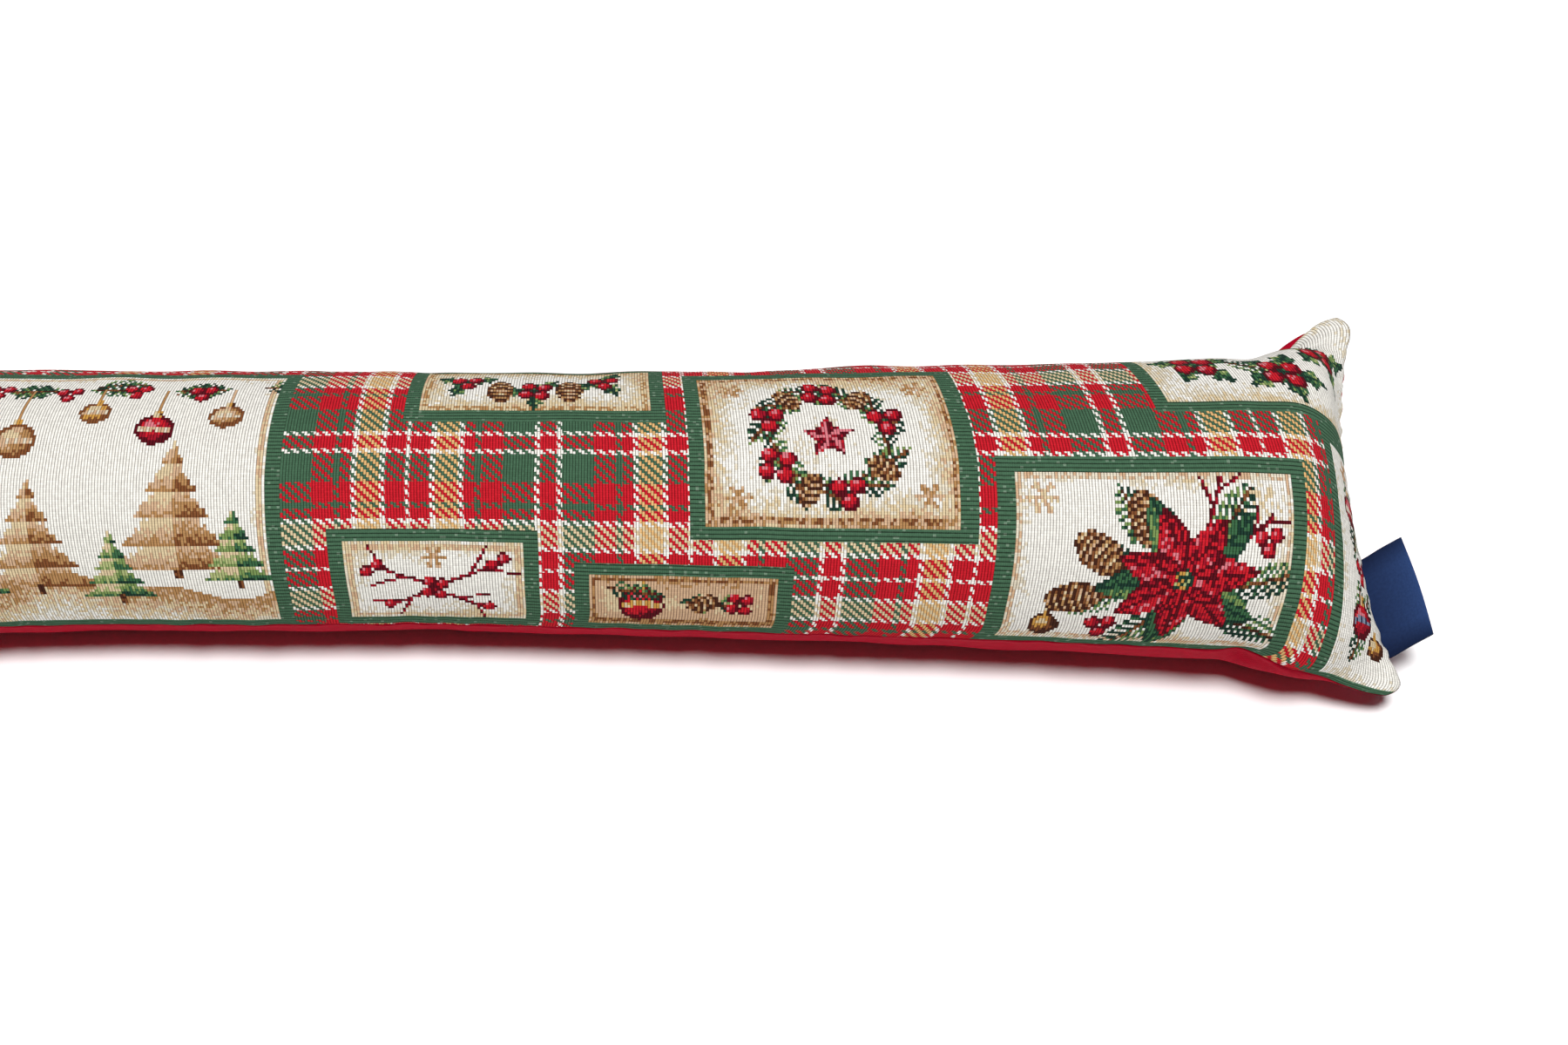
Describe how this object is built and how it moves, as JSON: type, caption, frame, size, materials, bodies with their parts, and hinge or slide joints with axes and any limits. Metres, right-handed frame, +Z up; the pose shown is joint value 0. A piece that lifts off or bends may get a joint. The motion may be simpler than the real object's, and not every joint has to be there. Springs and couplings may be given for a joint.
{
  "type": "draught excluder",
  "caption": "Long stuffed draught excluder cushion with a woven tapestry face, a plain cloth back, pointed corners and a folded side label.",
  "frame": {"origin": "middle of the flat patch on which the cushion rests, on the surface", "axes": "+X along the cushion towards the labelled end, +Y from the front seam to the back seam, +Z up"},
  "size_m": [0.9099, 0.1804, 0.1108],
  "materials": {
    "tapestry": "woven, matt, of many colours",
    "plain_cloth": "smooth, soft sheen",
    "ribbon": "satin"
  },
  "bodies": {
    "root": {"tapestry_face": "tapestry", "plain_back": "plain_cloth", "label": "ribbon"}
  },
  "joints": []
}
